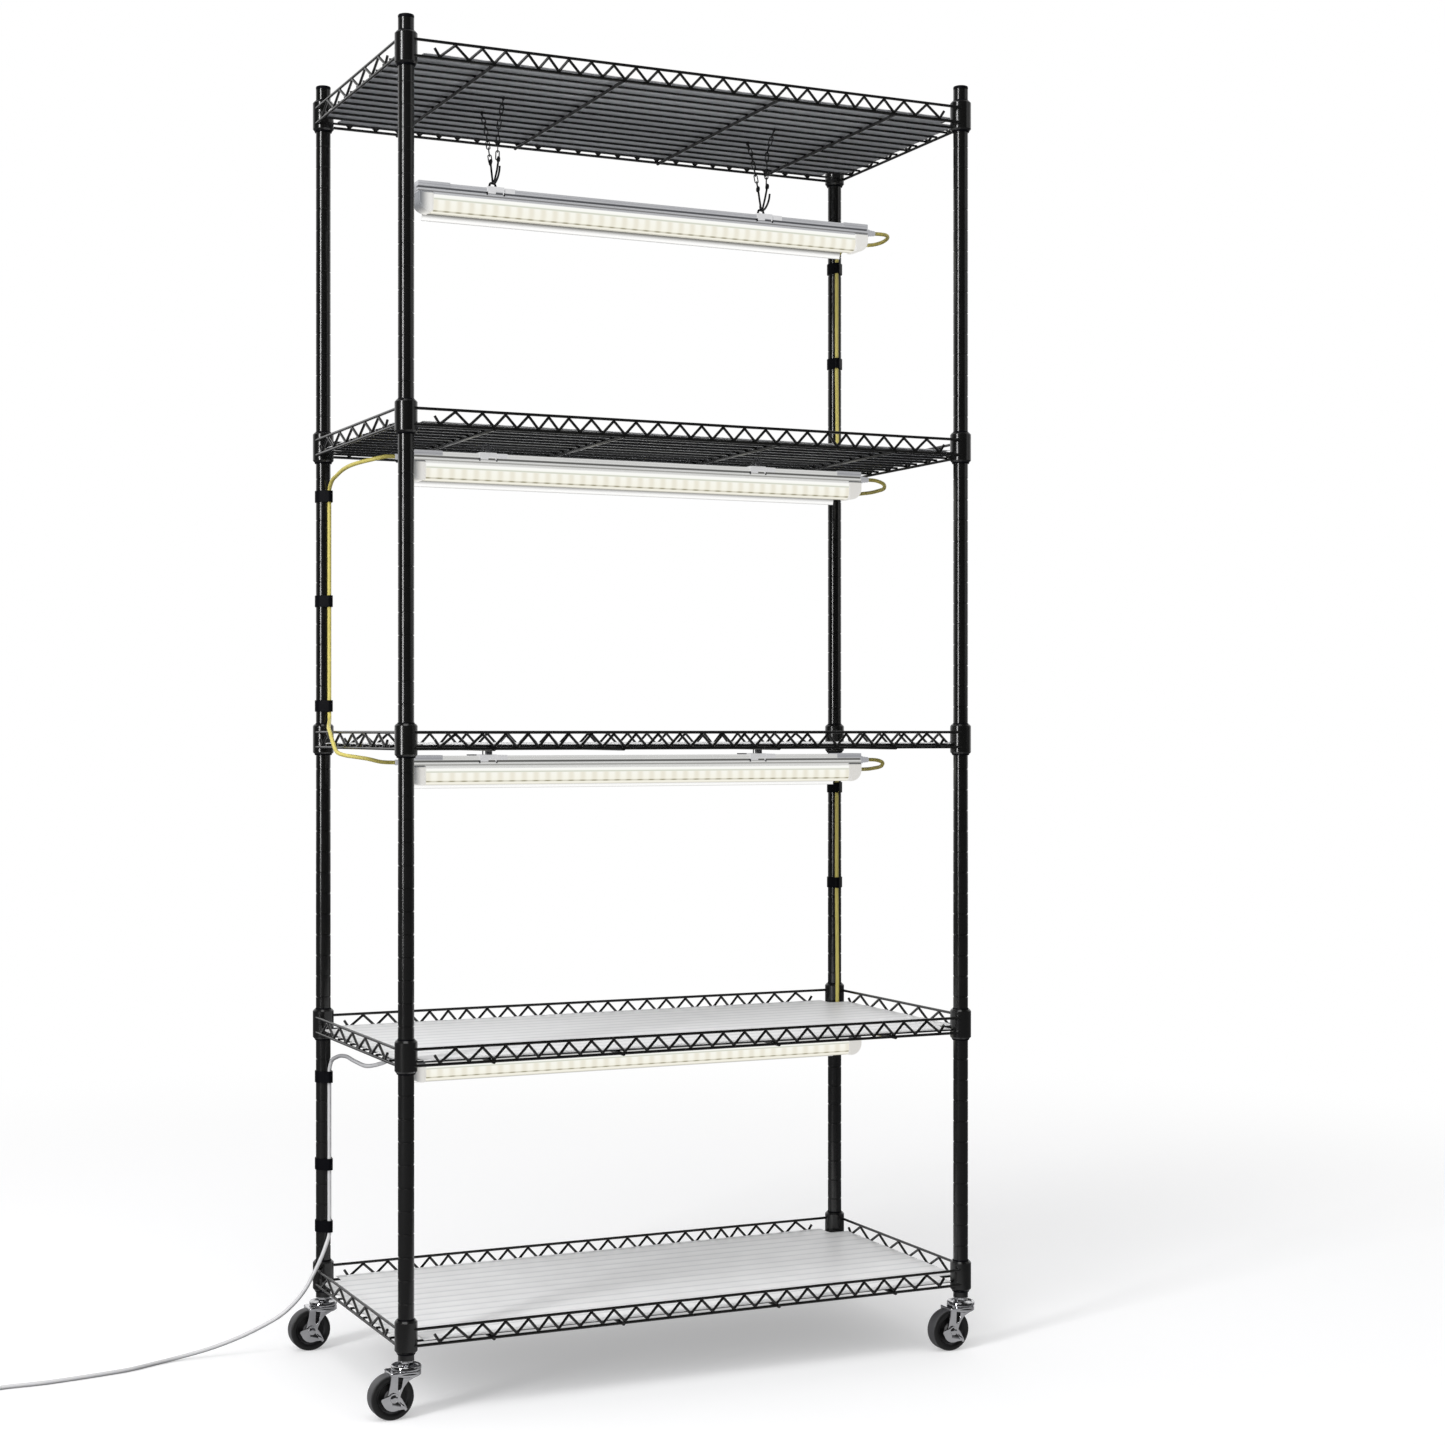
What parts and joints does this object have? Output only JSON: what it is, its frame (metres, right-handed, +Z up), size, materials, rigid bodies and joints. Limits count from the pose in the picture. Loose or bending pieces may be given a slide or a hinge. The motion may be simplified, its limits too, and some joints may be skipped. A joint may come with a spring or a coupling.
{
  "type": "plant stand with grow lights",
  "caption": "Wire shelving stand on swivel casters with lined shelves, linked tube grow lights under the decks, and a mains cord with an inline timer.",
  "frame": {"origin": "on the floor, under the middle of the stand's bounding box without its cord", "axes": "+X along the shelves towards the side away from the timer, -Y towards the front, +Z up"},
  "size_m": [1.247, 0.354, 1.548],
  "materials": {
    "black_paint": "satin black powder coat",
    "black_plastic": "matt",
    "chrome": "bright",
    "black_rubber": "matt",
    "liner_white": "satin",
    "lamp_grey": "satin",
    "cover_glow": "satin, lit from inside",
    "board_buff": "matt",
    "cable_yellow": "satin",
    "cord_white": "satin",
    "case_white": "satin",
    "panel_grey": "matt"
  },
  "bodies": {
    "stand": {"post_front_left": "black_paint", "post_cap_front_left": "black_plastic", "post_front_right": "black_paint", "post_cap_front_right": "black_plastic", "post_back_left": "black_paint", "post_cap_back_left": "black_plastic", "post_back_right": "black_paint", "post_cap_back_right": "black_plastic", "shelf_bottom": "black_paint", "liner_bottom": "liner_white", "shelf_second": "black_paint", "liner_second": "liner_white", "shelf_third": "black_paint", "liner_third": "liner_white", "shelf_fourth": "black_paint", "liner_fourth": "liner_white", "shelf_top": "black_paint", "liner_top": "liner_white", "caster_stem_front_left": "chrome", "caster_stem_front_right": "chrome", "caster_stem_back_left": "chrome", "caster_stem_back_right": "chrome", "lamp_2_housing": "lamp_grey", "lamp_2_cover": "cover_glow", "lamp_2_led_board": "board_buff", "lamp_3_housing": "lamp_grey", "lamp_3_cover": "cover_glow", "lamp_3_led_board": "board_buff", "lamp_4_housing": "lamp_grey", "lamp_4_cover": "cover_glow", "lamp_4_led_board": "board_buff", "link_cable_1": "cable_yellow", "link_cable_2": "cable_yellow", "link_cable_3": "cable_yellow", "mains_cord": "cord_white", "cord_coil": "cord_white", "timer_case": "case_white", "timer_panel": "panel_grey", "mains_plug": "case_white"},
    "fork_front_left": {"caster_fork_front_left": "chrome"},
    "wheel_front_left": {"caster_wheel_front_left": "black_rubber"},
    "brake_front_left": {"caster_brake_front_left": "chrome"},
    "fork_front_right": {"caster_fork_front_right": "chrome"},
    "wheel_front_right": {"caster_wheel_front_right": "black_rubber"},
    "brake_front_right": {"caster_brake_front_right": "chrome"},
    "fork_back_left": {"caster_fork_back_left": "chrome"},
    "wheel_back_left": {"caster_wheel_back_left": "black_rubber"},
    "brake_back_left": {"caster_brake_back_left": "chrome"},
    "fork_back_right": {"caster_fork_back_right": "chrome"},
    "wheel_back_right": {"caster_wheel_back_right": "black_rubber"},
    "brake_back_right": {"caster_brake_back_right": "chrome"},
    "highest_light": {"lamp_1_housing": "lamp_grey", "lamp_1_cover": "cover_glow", "lamp_1_led_board": "board_buff"},
    "hanger_left": {"hanger_left": "chrome"},
    "hanger_right": {"hanger_right": "chrome"},
    "timer_button": {"timer_button": "case_white"},
    "power_button": {"power_button": "case_white"}
  },
  "joints": [
    {"name": "caster_swivel_front_left", "type": "hinge", "parent": "stand", "child": "fork_front_left", "pos_m": [-0.344, -0.16, 0.0525], "axis": [0, 0, 1], "continuous": true},
    {"name": "wheel_roll_front_left", "type": "hinge", "parent": "fork_front_left", "child": "wheel_front_left", "pos_m": [-0.362, -0.16, 0.025], "axis": [0, -1, 0], "continuous": true},
    {"name": "brake_press_front_left", "type": "hinge", "parent": "fork_front_left", "child": "brake_front_left", "pos_m": [-0.362, -0.16, 0.025], "axis": [0, -1, 0], "range_deg": [0, 20]},
    {"name": "caster_swivel_front_right", "type": "hinge", "parent": "stand", "child": "fork_front_right", "pos_m": [0.37, -0.16, 0.0525], "axis": [0, 0, 1], "continuous": true},
    {"name": "wheel_roll_front_right", "type": "hinge", "parent": "fork_front_right", "child": "wheel_front_right", "pos_m": [0.352, -0.16, 0.025], "axis": [0, -1, 0], "continuous": true},
    {"name": "brake_press_front_right", "type": "hinge", "parent": "fork_front_right", "child": "brake_front_right", "pos_m": [0.352, -0.16, 0.025], "axis": [0, -1, 0], "range_deg": [0, 20]},
    {"name": "caster_swivel_back_left", "type": "hinge", "parent": "stand", "child": "fork_back_left", "pos_m": [-0.344, 0.16, 0.0525], "axis": [0, 0, 1], "continuous": true},
    {"name": "wheel_roll_back_left", "type": "hinge", "parent": "fork_back_left", "child": "wheel_back_left", "pos_m": [-0.362, 0.16, 0.025], "axis": [0, -1, 0], "continuous": true},
    {"name": "brake_press_back_left", "type": "hinge", "parent": "fork_back_left", "child": "brake_back_left", "pos_m": [-0.362, 0.16, 0.025], "axis": [0, -1, 0], "range_deg": [0, 20]},
    {"name": "caster_swivel_back_right", "type": "hinge", "parent": "stand", "child": "fork_back_right", "pos_m": [0.37, 0.16, 0.0525], "axis": [0, 0, 1], "continuous": true},
    {"name": "wheel_roll_back_right", "type": "hinge", "parent": "fork_back_right", "child": "wheel_back_right", "pos_m": [0.352, 0.16, 0.025], "axis": [0, -1, 0], "continuous": true},
    {"name": "brake_press_back_right", "type": "hinge", "parent": "fork_back_right", "child": "brake_back_right", "pos_m": [0.352, 0.16, 0.025], "axis": [0, -1, 0], "range_deg": [0, 20]},
    {"name": "light_sway", "type": "slide", "parent": "stand", "child": "highest_light", "axis": [1, 0, 0], "range_m": [-0.012, 0.012], "stiffness_N_per_m": 50, "deforming": ["link_cable_1"]},
    {"name": "hanger_swing_left", "type": "hinge", "parent": "stand", "child": "hanger_left", "pos_m": [-0.1825, 0, 1.5041], "axis": [0, 1, 0], "range_deg": [-8, 8]},
    {"name": "hanger_swing_right", "type": "hinge", "parent": "stand", "child": "hanger_right", "pos_m": [0.1765, 0, 1.5041], "axis": [0, 1, 0], "range_deg": [-8, 8]},
    {"name": "timer_button_press", "type": "slide", "parent": "stand", "child": "timer_button", "axis": [0, 0, 1], "range_m": [-0.0006, 0], "stiffness_N_per_m": 500},
    {"name": "power_button_press", "type": "slide", "parent": "stand", "child": "power_button", "axis": [0, 0, 1], "range_m": [-0.0006, 0], "stiffness_N_per_m": 500}
  ],
  "couplings": [
    {"joint": "hanger_swing_left", "follows": "light_sway", "rad_per_m": -10.57},
    {"joint": "hanger_swing_right", "follows": "light_sway", "rad_per_m": -10.57}
  ]
}
